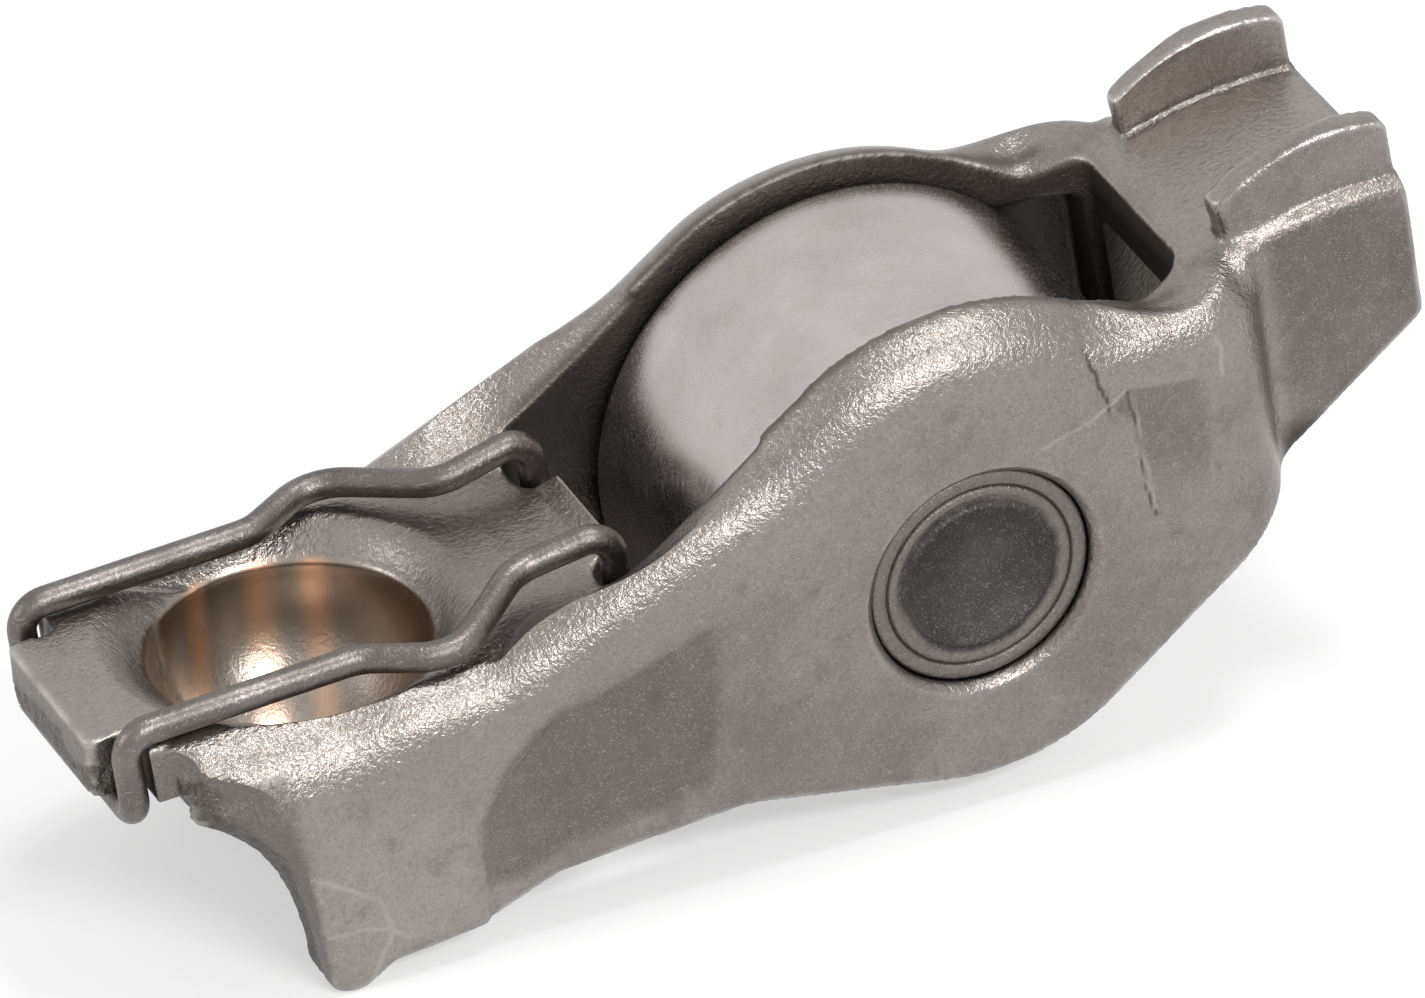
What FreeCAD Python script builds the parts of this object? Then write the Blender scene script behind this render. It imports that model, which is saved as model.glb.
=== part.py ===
import FreeCAD, Part
import math
import os

import Sketcher

# Roller rocker arm (a finger follower), in millimetres.
# The arm lies along X, with the ball socket at -X and the valve end at +X, and the
# roller's pin runs along Y through the origin. Every piece is drawn with the socket
# pad level and then turned about the pin, so that the roller and the feet of both
# walls touch one level surface, as the loose arm lies on a bench.

Vector = FreeCAD.Vector
doc = FreeCAD.newDocument("RockerArm")
sheet = doc.addObject("Spreadsheet::Sheet", "Sizes")

SIZES = {
    # steel sheet
    "plate": 2.25,
    "fold_radius": 2.3,
    "rim_fold": 0.9,
    # pin, needles and roller
    "pin_diameter": 8.0,
    "pin_recess": 0.4,
    "pin_disc_diameter": 6.4,
    "groove_width": 0.4,
    "groove_depth": 0.25,
    "pin_bevel": 0.12,
    "hole_chamfer": 0.3,
    "needle_diameter": 1.5,
    "needle_length": 8.8,
    "needle_count": 19,
    "running_gap": 0.02,
    "roller_diameter": 17.5,
    "roller_width": 9.4,
    "roller_round": 0.5,
    "bore_round": 0.2,
    "side_gap": 0.25,
    # side view: socket pad, rim and hump over the roller; the pad falls towards the roller
    "pad_height": 4.02,
    "pad_angle": 3.4,
    "rim_start": 17.3,
    "rim_angle": 18.5,
    "rim_blend": 5.0,
    "hump_radius": 9.55,
    "hump_flank": 30.0,
    "hump_foot": 4.0,
    # side view: ends and lower edge of the walls, each run measured from the wall's end
    "wall_reach": 24.8,
    "sweep_run": 2.65,
    "sweep_drop": 1.65,
    "sweep_radius": 5.3,
    "foot_depth": 6.25,
    "foot_length": 1.2,
    "foot_round": 0.6,
    "heel_run": 2.3,
    "heel_depth": 5.65,
    "sill_start_run": 5.8,
    "sill_end_run": 8.6,
    "sill_depth": 4.87,
    "sill_blend": 4.0,
    "boss_radius": 7.58,
    "boss_near_flank": 17.2,
    "boss_far_flank": 31.5,
    "boss_foot": 9.4,
    # flat coined into each wall's outer face between the socket and the boss
    "coin_depth": 0.22,
    "coin_reach": 19.0,
    "coin_fade": 8.2,
    "coin_rise": -1.6,
    "coin_shoulder": 15.6,
    "coin_height": 1.45,
    "coin_end_height": 2.9,
    "coin_round": 3.0,
    # tongue at the socket end, with a slot for the clip on each side, both measured from
    # the socket's centre
    "tongue_run": 8.75,
    "tongue_width": 6.6,
    "slot_run": 7.0,
    "slot_width": 1.35,
    "tongue_round": 0.3,
    # ball socket and the dome under it
    "socket_reach": 21.7,
    "ball_radius": 4.7,
    "ball_flat": 0.4,
    "ball_depth": 1.63,
    "lead_depth": 1.2,
    "lead_run": 1.3,
    "lead_radius": 2.6,
    "dome_wall": 1.0,
    # pad pressed down between the rims, wider where the clip bulges out
    "dip_start": 19.0,
    "dip_drop": 0.1,
    "dip_length": 7.4,
    "dip_width": 8.6,
    "dip_flank": 52.0,
    "dip_round": 1.5,
    "bay_length": 2.1,
    "bay_flare": 1.9,
    "bay_width": 12.5,
    # window for the roller
    "lip_reach": 10.8,
    "lip_width": 4.0,
    "notch_reach": 12.0,
    "notch_width": 5.6,
    "notch_round": 0.9,
    "window_reach": 9.9,
    "window_width": 7.5,
    "window_shoulder": 5.8,
    "window_round": 1.1,
    # neck and valve end
    "neck_reach": 11.9,
    "neck_round": 3.0,
    "neck_height": 7.5,
    "valve_run": 3.2,
    "valve_width": 9.8,
    "valve_round": 0.75,
    "valve_corner": 0.7,
    "crown_reach": 14.6,
    "crown_height": 7.85,
    "crown_radius": 16.0,
    "crown_near_angle": 11.6,
    "crown_far_angle": 8.9,
    "saddle_start": 8.0,
    "saddle_width": 12.4,
    "saddle_flank": 50.0,
    # guide ears
    "ear_gap": 6.6,
    "ear_plate": 1.0,
    "ear_start_run": 3.45,
    "ear_start_rise": 0.75,
    "ear_undercut": 0.35,
    "ear_peak_run": 0.4,
    "ear_peak_rise": 2.62,
    "ear_radius": 7.0,
    "ear_end_run": 3.0,
    "ear_end_rise": 1.6,
    "ear_corner": 0.35,
    # wire clip
    "wire": 1.0,
    "wire_bend": 0.9,
    "wire_curve": 1.8,
    "clip_gap": 0.02,
    "leg_gap": 0.15,
    "clip_half_span": 4.3,
    "bulge_start": 20.9,
    "bulge_reach": 18.1,
    "bulge_half_span": 5.95,
    "waist_reach": 14.7,
    "waist_half_span": 3.0,
    "waist_lift": 0.4,
    "hook_reach": 11.25,
    "hook_half_span": 3.25,
    "hook_lift": 0.95,
    "hook_drop": 2.4,
}
for row, (alias, value) in enumerate(SIZES.items(), start=1):
    sheet.set(f"A{row}", alias)
    sheet.set(f"B{row}", str(value))
    sheet.setAlias(f"B{row}", alias)
doc.recompute()

# Widths, heights and radii that follow from the sizes
INNER = "(Sizes.roller_width + 2 * Sizes.side_gap)"
OUTER = f"({INNER} + 2 * Sizes.plate)"
CHANNEL_END = "(Sizes.neck_reach - Sizes.plate)"
VALVE_REACH = "(Sizes.crown_reach + Sizes.valve_run)"
SLOT_REACH = "(Sizes.socket_reach + Sizes.slot_run)"
BALL_FLOOR = "(-Sizes.ball_depth - Sizes.ball_radius)"
DOME_RADIUS = "(Sizes.ball_radius + Sizes.dome_wall)"
BORE_RADIUS = "(Sizes.pin_diameter / 2 + Sizes.needle_diameter + 2 * Sizes.running_gap)"
CLEAR = "20"


def size(expression):
    """The number that an expression on the sheet gives."""
    return float(sheet.evalExpression(expression))


def slope(angle):
    return f"tan({angle} * 1deg)"


def pad_level(reach):
    """Height of the sloping pad's face at a distance from the pin."""
    return f"(Sizes.pad_height - (Sizes.wall_reach - {reach}) * {slope('Sizes.pad_angle')})"


def new_sketch(body, name, role, base=("0", "0", "0"), tilt=None):
    """An empty sketch on one of the body's own planes, moved off it by base and, for a
    level plane, turned about Y by tilt."""
    sketch = body.newObject("Sketcher::SketchObject", name)
    plane = [feature for feature in body.Origin.OriginFeatures if feature.Role == role][0]
    sketch.AttachmentSupport = (plane, [""])
    sketch.MapMode = "FlatFace"
    if tilt:
        sketch.AttachmentOffset = FreeCAD.Placement(
            Vector(), FreeCAD.Rotation(Vector(0, 1, 0), size(tilt)))
        sketch.setExpression(".AttachmentOffset.Rotation.Angle", tilt)
    for axis, expression in zip("xyz", base):
        if expression != "0":
            sketch.setExpression(f".AttachmentOffset.Base.{axis}", expression)
    return sketch


def bind(sketch, kind, geometry, point, expression, value):
    """Hold one coordinate of a point to an expression on the sheet."""
    index = sketch.addConstraint(Sketcher.Constraint(kind, -1, 1, geometry, point, value))
    sketch.setExpression(f"Constraints[{index}]", expression)


def draw_outline(sketch, corners):
    """Close a ring of straight runs through corners (across, up, radius), each of them
    an expression. A corner with a radius gets an arc tangent to both of its runs."""
    places = [Vector(size(across), size(up), 0) for across, up, radius in corners]
    radii = [size(radius) for across, up, radius in corners]
    starts, ends, arcs = [], [], []
    for i, (place, radius) in enumerate(zip(places, radii)):
        inward = (place - places[i - 1]).normalize()
        outward = (places[(i + 1) % len(places)] - place).normalize()
        turn = inward.getAngle(outward)
        starts.append(place - inward * radius * math.tan(turn / 2))
        ends.append(place + outward * radius * math.tan(turn / 2))
        if radius == 0:
            arcs.append(None)
            continue
        centre = place + (outward - inward).normalize() * radius / math.cos(turn / 2)
        ring = [starts[i], ends[i]]
        turns_left = inward.cross(outward).z > 0
        if not turns_left:
            ring.reverse()
        angles = [math.atan2(point.y - centre.y, point.x - centre.x) for point in ring]
        if angles[1] < angles[0]:
            angles[1] += 2 * math.pi
        circle = Part.Circle(centre, Vector(0, 0, 1), radius)
        arc = sketch.addGeometry(Part.ArcOfCircle(circle, angles[0], angles[1]))
        arcs.append((arc, 1 if turns_left else 2))
    lines = [sketch.addGeometry(Part.LineSegment(end, start))
             for end, start in zip(ends, starts[1:] + starts[:1])]
    for i, (across, up, radius) in enumerate(corners):
        before, after = lines[i - 1], lines[i]
        if arcs[i]:
            arc, first = arcs[i]
            sketch.addConstraint(Sketcher.Constraint("Tangent", before, 2, arc, first))
            sketch.addConstraint(Sketcher.Constraint("Tangent", after, 1, arc, 3 - first))
            index = sketch.addConstraint(Sketcher.Constraint("Radius", arc, radii[i]))
            sketch.setExpression(f"Constraints[{index}]", radius)
            corner = sketch.addGeometry(Part.Point(places[i]), True)
            sketch.addConstraint(Sketcher.Constraint("PointOnObject", corner, 1, before))
            sketch.addConstraint(Sketcher.Constraint("PointOnObject", corner, 1, after))
        else:
            sketch.addConstraint(Sketcher.Constraint("Coincident", before, 2, after, 1))
            corner = after
        bind(sketch, "DistanceX", corner, 1, across, places[i].x)
        bind(sketch, "DistanceY", corner, 1, up, places[i].y)
    return sketch


def both_sides(corners):
    """The corners of one side of a top view, and the same on the other side."""
    return corners + [(along, f"-({side})", radius) for along, side, radius in reversed(corners)]


def new_pad(body, name, sketch, length, symmetric=False, taper=None):
    feature = body.newObject("PartDesign::Pad", name)
    feature.Profile = sketch
    if symmetric:
        feature.SideType = "Symmetric"
    feature.setExpression("Length", length)
    if taper:
        feature.setExpression("TaperAngle", taper)
    doc.recompute()
    return feature


def new_turning(body, name, sketch):
    """A full turn of the sketch about its own upright axis."""
    feature = body.newObject("PartDesign::Revolution", name)
    feature.Profile = sketch
    feature.ReferenceAxis = (sketch, ["V_Axis"])
    feature.Angle = 360
    doc.recompute()
    return feature


def new_fillet(body, name, base, radius, wanted):
    """Round the edges of base that wanted says yes to."""
    names = [f"Edge{i}" for i, edge in enumerate(base.Shape.Edges, start=1) if wanted(edge)]
    feature = body.newObject("PartDesign::Fillet", name)
    feature.Base = (base, names)
    feature.setExpression("Radius", radius)
    doc.recompute()
    return feature


def new_boolean(kind, name, base, tools):
    """One solid joined with each tool, or cut by it, in turn."""
    for i, tool in enumerate(tools, start=1):
        step = doc.addObject(f"Part::{kind}", f"{name}{i}")
        step.Base = base
        step.Tool = tool
        base = step
    doc.recompute()
    return base


def new_body(name):
    return doc.addObject("PartDesign::Body", name)


# Walls around the roller, seen from the side: the web's end, the foot, the lower edge
# with the boss round the pin, the neck, and back over the hump. The flanks of the boss
# and of the hump are tangent to circles about the pin.

RIM = slope("Sizes.rim_angle")
HUMP = slope("Sizes.hump_flank")
BOSS_NEAR = slope("Sizes.boss_near_flank")
BOSS_FAR = slope("Sizes.boss_far_flank")
HUMP_TOP = "(Sizes.hump_radius / cos(Sizes.hump_flank * 1deg))"
RIM_FOOT = pad_level("Sizes.rim_start")
RIM_AT_PIN = f"({RIM_FOOT} + Sizes.rim_start * {RIM})"
PAD_END = f"({CLEAR} + Sizes.wall_reach)"
HUMP_NEAR = f"(({RIM_AT_PIN} - {HUMP_TOP}) / ({HUMP} - {RIM}))"
HUMP_FAR = f"(({HUMP_TOP} - Sizes.neck_height) / {HUMP})"
NEAR_DROP = "(Sizes.boss_radius / cos(Sizes.boss_near_flank * 1deg))"
FAR_DROP = "(Sizes.boss_radius / cos(Sizes.boss_far_flank * 1deg))"
BOSS_TIP = f"(({FAR_DROP} - {NEAR_DROP}) / ({BOSS_NEAR} + {BOSS_FAR}))"


def far_edge(along):
    """Height of the straight lower edge between the boss and the valve end."""
    return f"({along} * {BOSS_FAR} - {FAR_DROP})"


walls = new_body("Walls")
side_view = draw_outline(new_sketch(walls, "WallsSide", "XZ_Plane"), [
    (f"-{PAD_END}", pad_level(PAD_END), "0"),
    (f"-{PAD_END}", f"-{CLEAR}", "0"),
    ("Sizes.neck_reach", f"-{CLEAR}", "0"),
    ("Sizes.neck_reach", "Sizes.neck_height", "0"),
    (HUMP_FAR, "Sizes.neck_height", "Sizes.hump_foot"),
    ("0", HUMP_TOP, "Sizes.hump_radius"),
    (HUMP_NEAR, f"{HUMP_TOP} + {HUMP_NEAR} * {HUMP}", "Sizes.hump_foot"),
    ("-Sizes.rim_start", RIM_FOOT, "Sizes.rim_blend"),
])
block = new_pad(walls, "WallsPad", side_view, OUTER, symmetric=True)
neck_x = size("Sizes.neck_reach")
block = new_fillet(walls, "NeckRounds", block, "Sizes.neck_round", lambda edge: (
    abs(edge.CenterOfMass.x - neck_x) < 1e-6 and edge.BoundBox.YLength < 1e-6))

# The fold between the web and each wall is tight along the pad and opens out up the rim.

folds = doc.addObject("Part::Fillet", "Folds")
folds.Base = walls
wide, tight = size("Sizes.fold_radius"), size("Sizes.rim_fold")
rim_middle = size(f"({HUMP_NEAR} - Sizes.rim_start) / 2")
fold_edges = []
for i, edge in enumerate(walls.Shape.Edges, start=1):
    box = edge.BoundBox
    if box.ZMin < 0 or box.YLength > size(OUTER) - 1e-6:
        continue
    if box.XMax < rim_middle:
        fold_edges.append((i, tight, tight))
    elif box.XMin > rim_middle:
        fold_edges.append((i, wide, wide))
    elif box.YMin > 0:
        fold_edges.append((i, tight, wide))
    else:
        fold_edges.append((i, wide, tight))
folds.Edges = fold_edges
doc.recompute()

edges = new_body("Edges")
side_view = draw_outline(new_sketch(edges, "EdgesSide", "XZ_Plane"), [
    ("-Sizes.wall_reach - 2 * Sizes.sweep_run", CLEAR, "0"),
    ("-Sizes.wall_reach - 2 * Sizes.sweep_run", "Sizes.pad_height + Sizes.sweep_drop", "0"),
    ("-Sizes.wall_reach", "Sizes.pad_height - Sizes.sweep_drop", "Sizes.sweep_radius"),
    ("-Sizes.wall_reach", "-Sizes.foot_depth", "Sizes.foot_round"),
    ("Sizes.foot_length - Sizes.wall_reach", "-Sizes.foot_depth", "Sizes.foot_round"),
    ("Sizes.heel_run - Sizes.wall_reach", "-Sizes.heel_depth", "Sizes.foot_round"),
    ("Sizes.sill_start_run - Sizes.wall_reach", "-Sizes.heel_depth", "Sizes.sill_blend"),
    ("Sizes.sill_end_run - Sizes.wall_reach", "-Sizes.sill_depth", "Sizes.sill_blend"),
    ("-Sizes.boss_foot", f"Sizes.boss_foot * {BOSS_NEAR} - {NEAR_DROP}", "Sizes.sill_blend"),
    (BOSS_TIP, f"-{NEAR_DROP} - {BOSS_TIP} * {BOSS_NEAR}", "Sizes.boss_radius"),
    (CLEAR, far_edge(CLEAR), "0"),
    (CLEAR, CLEAR, "0"),
])
new_pad(edges, "EdgesPad", side_view, f"2 * {OUTER}", symmetric=True)

# Valve end: a narrower channel whose crowned top carries the valve stem between two
# guide ears with arched tops.


def crown(start, end, lowered):
    """Side view of the crowned top, from its end back to its start, lowered by a
    thickness."""
    top = f"(Sizes.crown_height - {lowered})"
    rise, fall = slope("Sizes.crown_near_angle"), slope("Sizes.crown_far_angle")
    return [
        (end, f"{top} - ({end} - Sizes.crown_reach) * {fall}", "0"),
        ("Sizes.crown_reach", top, "Sizes.crown_radius"),
        (start, f"{top} - (Sizes.crown_reach - {start}) * {rise}", "0"),
    ]


valve = new_body("ValveEnd")
VALVE_START = f"({CHANNEL_END} - Sizes.plate / 4)"
side_view = draw_outline(new_sketch(valve, "ValveEndSide", "XZ_Plane"), [
    (VALVE_START, far_edge(VALVE_START), "0"),
    (VALVE_REACH, far_edge(VALVE_REACH), "Sizes.valve_corner"),
] + crown(VALVE_START, VALVE_REACH, "0"))
block = new_pad(valve, "ValveEndPad", side_view, "Sizes.valve_width", symmetric=True)
half_valve = size("Sizes.valve_width") / 2
crown_z = size("Sizes.crown_height - Sizes.plate")
block = new_fillet(valve, "ValveFolds", block, "Sizes.valve_round", lambda edge: (
    abs(abs(edge.CenterOfMass.y) - half_valve) < 1e-6 and edge.BoundBox.ZMin > crown_z))
EAR_START = "(Sizes.crown_reach - Sizes.ear_start_run)"
ear_sketch = draw_outline(
    new_sketch(valve, "EarSide", "XZ_Plane", base=("0", "0", "Sizes.ear_gap / 2")), [
        (f"{EAR_START} + Sizes.ear_undercut", "Sizes.crown_height - Sizes.plate", "0"),
        (VALVE_REACH, "Sizes.crown_height - Sizes.plate", "0"),
        ("Sizes.crown_reach + Sizes.ear_end_run",
         "Sizes.crown_height + Sizes.ear_end_rise", "Sizes.ear_corner"),
        ("Sizes.crown_reach - Sizes.ear_peak_run",
         "Sizes.crown_height + Sizes.ear_peak_rise", "Sizes.ear_radius"),
        (EAR_START, "Sizes.crown_height + Sizes.ear_start_rise", "0"),
    ])
ear = new_pad(valve, "Ear", ear_sketch, "Sizes.ear_plate")
ears = valve.newObject("PartDesign::Mirrored", "Ears")
ears.Originals = [ear]
ears.MirrorPlane = ([f for f in valve.Origin.OriginFeatures if f.Role == "XZ_Plane"][0], [""])
valve.Tip = ears
doc.recompute()

# Tongue: the web's end between the two slots that the clip's legs pass through.

tongue = new_body("Tongue")
SLOT_SIDE = "(Sizes.tongue_width / 2 + Sizes.slot_width)"
TONGUE_UNDERSIDE = f"({pad_level('Sizes.socket_reach')} - Sizes.plate)"
top_view = draw_outline(
    new_sketch(tongue, "TonguePlan", "XY_Plane", tilt="Sizes.pad_angle",
               base=("-Sizes.socket_reach", "0", TONGUE_UNDERSIDE)), both_sides([
        ("-Sizes.tongue_run", "Sizes.tongue_width / 2", "Sizes.tongue_round"),
        ("-Sizes.slot_run", "Sizes.tongue_width / 2", "Sizes.tongue_round"),
        ("-Sizes.slot_run", SLOT_SIDE, "Sizes.tongue_round"),
        ("Sizes.socket_reach - Sizes.wall_reach", SLOT_SIDE, "0"),
    ]))
new_pad(tongue, "TonguePad", top_view, "Sizes.plate")

# Space between the walls, open below, and the narrower one under the crowned top.

channel = new_body("Channel")
side_view = draw_outline(new_sketch(channel, "ChannelSide", "XZ_Plane"), [
    (f"-{PAD_END}", f"-{CLEAR}", "0"),
    (CHANNEL_END, f"-{CLEAR}", "0"),
    (CHANNEL_END, "Sizes.neck_height - Sizes.plate", "0"),
    ("-Sizes.window_shoulder", "Sizes.neck_height - Sizes.plate", "0"),
    ("-Sizes.boss_foot", f"{pad_level('Sizes.boss_foot')} - Sizes.plate", "0"),
    (f"-{PAD_END}", f"{pad_level(PAD_END)} - Sizes.plate", "0"),
])
new_pad(channel, "ChannelPad", side_view, INNER, symmetric=True)

valve_channel = new_body("ValveChannel")
CHANNEL_START = f"({CHANNEL_END} - Sizes.plate / 2)"
side_view = draw_outline(new_sketch(valve_channel, "ValveChannelSide", "XZ_Plane"), [
    (CHANNEL_START, f"-{CLEAR}", "0"),
    (CLEAR, f"-{CLEAR}", "0"),
] + crown(CHANNEL_START, CLEAR, "Sizes.plate"))
new_pad(valve_channel, "ValveChannelPad", side_view,
        "Sizes.valve_width - 2 * Sizes.plate", symmetric=True)

# Window in the web: a lip between two notches at the socket side, the full inner width
# beside the roller, and a narrower end with round corners at the valve side.

window = new_body("Window")
top_view = draw_outline(new_sketch(window, "WindowPlan", "XY_Plane"), both_sides([
    ("Sizes.window_reach", "Sizes.window_width / 2", "Sizes.window_round"),
    ("Sizes.window_shoulder", f"{INNER} / 2", "Sizes.window_round"),
    ("-Sizes.notch_reach", f"{INNER} / 2", "Sizes.notch_round"),
    ("-Sizes.notch_reach", "Sizes.notch_width / 2", "Sizes.notch_round"),
    ("-Sizes.lip_reach", "Sizes.lip_width / 2", "Sizes.notch_round / 2"),
]))
new_pad(window, "WindowPad", top_view, CLEAR)

# Pad pressed down between the rims, with a bay on each side for the clip's bulge, and the
# saddle that runs from the window's end up to the crowned top. Both have flared sides.

dip = new_body("Dip")
DIP_FACE = f"({pad_level('Sizes.dip_start')} - Sizes.dip_drop)"
top_view = draw_outline(
    new_sketch(dip, "DipPlan", "XY_Plane", base=("-Sizes.dip_start", "0", DIP_FACE),
               tilt="Sizes.pad_angle"), both_sides([
        ("0", "Sizes.bay_width / 2", "Sizes.dip_round / 2"),
        ("Sizes.bay_length", "Sizes.bay_width / 2", "Sizes.dip_round / 2"),
        ("Sizes.bay_length + Sizes.bay_flare", "Sizes.dip_width / 2", "Sizes.dip_round"),
        ("Sizes.dip_length", "Sizes.dip_width / 2", "Sizes.dip_round"),
    ]))
new_pad(dip, "DipPad", top_view, "2 * Sizes.plate", taper="Sizes.dip_flank")

saddle = new_body("Saddle")
SADDLE_BASE = (f"(Sizes.crown_height - (Sizes.crown_reach - Sizes.saddle_start)"
               f" * {slope('Sizes.crown_near_angle')})")
top_view = draw_outline(
    new_sketch(saddle, "SaddlePlan", "XY_Plane", base=("Sizes.saddle_start", "0", SADDLE_BASE),
               tilt="-Sizes.crown_near_angle"), both_sides([
        ("0", "Sizes.saddle_width / 2", "Sizes.dip_round"),
        (f"{CLEAR}", "Sizes.saddle_width / 2", "0"),
    ]))
new_pad(saddle, "SaddlePad", top_view, "Sizes.plate", taper="Sizes.saddle_flank")

# Flat that is coined into both outer faces. It is deepest towards the socket and runs out
# to nothing beside the boss.

coin = new_body("Coin")
side_view = draw_outline(new_sketch(coin, "CoinSide", "XZ_Plane"), [
    ("-Sizes.coin_reach", f"-{CLEAR}", "0"),
    ("-Sizes.coin_fade", f"-{CLEAR}", "0"),
    ("-Sizes.coin_fade", "Sizes.coin_end_height", "0"),
    ("-Sizes.coin_shoulder", "Sizes.coin_height", "Sizes.coin_round"),
    ("-Sizes.coin_reach", "Sizes.coin_rise", "Sizes.coin_round"),
])
new_pad(coin, "CoinPad", side_view, f"2 * {OUTER}", symmetric=True)
coin_core = new_body("CoinCore")
top_view = draw_outline(new_sketch(coin_core, "CoinCorePlan", "XY_Plane"), both_sides([
    ("-Sizes.coin_reach", f"{OUTER} / 2 - Sizes.coin_depth", "0"),
    ("-Sizes.coin_fade", f"{OUTER} / 2", "0"),
]))
new_pad(coin_core, "CoinCorePad", top_view, f"3 * {CLEAR}", symmetric=True)
coined = new_boolean("Cut", "Coined", coin, [coin_core])

# Hole for the pin, chamfered at both outer faces.

pin_hole = new_body("PinHole")
MOUTH = f"({OUTER} / 2 + Sizes.plate)"
MOUTH_RADIUS = "(Sizes.pin_diameter / 2 + Sizes.hole_chamfer + Sizes.plate)"
half_view = draw_outline(new_sketch(pin_hole, "PinHoleHalf", "XY_Plane"), [
    ("0", f"-{MOUTH}", "0"),
    (MOUTH_RADIUS, f"-{MOUTH}", "0"),
    ("Sizes.pin_diameter / 2", f"Sizes.hole_chamfer - {OUTER} / 2", "0"),
    ("Sizes.pin_diameter / 2", f"{OUTER} / 2 - Sizes.hole_chamfer", "0"),
    (MOUTH_RADIUS, MOUTH, "0"),
    ("0", MOUTH, "0"),
])
new_turning(pin_hole, "PinHoleTurning", half_view)

# Ball socket: a drawn cup whose wide lead-in runs out into the pad, and the dome that
# its metal makes below the web. Both are drawn from the pad's face and square to it.


def set_square_to_pad(body):
    body.Placement = FreeCAD.Placement(Vector(), FreeCAD.Rotation(Vector(0, 1, 0), 1))
    body.setExpression(".Placement.Rotation.Angle", "Sizes.pad_angle")
    body.setExpression(".Placement.Base.x", "-Sizes.socket_reach")
    body.setExpression(".Placement.Base.z", pad_level("Sizes.socket_reach"))
    doc.recompute()


dome = new_body("Dome")
DOME_FLOOR = f"(-Sizes.ball_depth - {DOME_RADIUS})"
half_view = draw_outline(new_sketch(dome, "DomeHalf", "XZ_Plane"), [
    ("0", DOME_FLOOR, "0"),
    (DOME_RADIUS, DOME_FLOOR, f"{DOME_RADIUS} - Sizes.ball_flat"),
    (DOME_RADIUS, "-Sizes.plate / 2", "0"),
    ("0", "-Sizes.plate / 2", "0"),
])
new_turning(dome, "DomeTurning", half_view)
set_square_to_pad(dome)

cup = new_body("Cup")
LEAD_CORNER = "(Sizes.ball_radius + Sizes.lead_run)"
half_view = draw_outline(new_sketch(cup, "CupHalf", "XZ_Plane"), [
    ("0", BALL_FLOOR, "0"),
    ("Sizes.ball_radius", BALL_FLOOR, "Sizes.ball_radius - Sizes.ball_flat"),
    ("Sizes.ball_radius", "-Sizes.lead_depth", "0"),
    (LEAD_CORNER, "0", "Sizes.lead_radius"),
    (f"{LEAD_CORNER} + Sizes.plate", "Sizes.plate / 10", "0"),
    (f"{LEAD_CORNER} + Sizes.plate", CLEAR, "0"),
    ("0", CLEAR, "0"),
])
new_turning(cup, "CupTurning", half_view)
set_square_to_pad(cup)

roller_section = new_boolean("Common", "RollerSection", folds, [edges])
pressed = new_boolean("Cut", "Pressed", roller_section, [dip, saddle, coined])
blank = new_boolean("Fuse", "Blank", pressed, [valve, tongue])
folded = new_boolean("Cut", "Folded", blank, [channel, valve_channel, window, pin_hole])
drawn = new_boolean("Fuse", "Drawn", folded, [dome])
arm = new_boolean("Cut", "Arm", drawn, [cup])

# Pin: staked flush into both walls, with a thin ring groove in each end face.

pin = new_body("Pin")
PIN_END = f"({OUTER} / 2 - Sizes.pin_recess)"
PIN_RADIUS = "(Sizes.pin_diameter / 2)"
DISC = "(Sizes.pin_disc_diameter / 2)"
pin_corners = [
    ("0", PIN_END, "0"),
    (DISC, PIN_END, "0"),
    (f"{DISC} + Sizes.groove_width / 2", f"{PIN_END} - Sizes.groove_depth", "0"),
    (f"{DISC} + Sizes.groove_width", PIN_END, "0"),
    (f"{PIN_RADIUS} - Sizes.pin_bevel", PIN_END, "0"),
    (PIN_RADIUS, f"{PIN_END} - Sizes.pin_bevel", "0"),
]
half_view = draw_outline(new_sketch(pin, "PinHalf", "XY_Plane"), both_sides(pin_corners))
new_turning(pin, "PinTurning", half_view)

# Roller: a ground ring that turns on the needles.

roller = new_body("Roller")
half_view = draw_outline(new_sketch(roller, "RollerHalf", "XY_Plane"), both_sides([
    (BORE_RADIUS, "Sizes.roller_width / 2", "Sizes.bore_round"),
    ("Sizes.roller_diameter / 2", "Sizes.roller_width / 2", "Sizes.roller_round"),
]))
new_turning(roller, "RollerTurning", half_view)

# Needles: a full row between the pin and the roller's bore, with no cage.

NEEDLE_CIRCLE = "(Sizes.pin_diameter / 2 + Sizes.running_gap + Sizes.needle_diameter / 2)"
needles = []
needle_count = int(size("Sizes.needle_count"))
for number in range(needle_count):
    needle = doc.addObject("Part::Cylinder", f"Needle{number + 1:02}")
    needle.Label = f"needle_{number + 1:02}"
    needle.setExpression("Radius", "Sizes.needle_diameter / 2")
    needle.setExpression("Height", "Sizes.needle_length")
    angle = 2 * math.pi * number / needle_count
    radius = size(NEEDLE_CIRCLE)
    needle.Placement = FreeCAD.Placement(
        Vector(radius * math.cos(angle), size("Sizes.needle_length") / 2,
               radius * math.sin(angle)),
        FreeCAD.Rotation(Vector(1, 0, 0), 90))
    needles.append(needle)

# Clip: one wire. A bar under the tongue joins two legs that rise through the slots,
# run back over the socket's edges, and hook down behind the lip.


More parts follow.
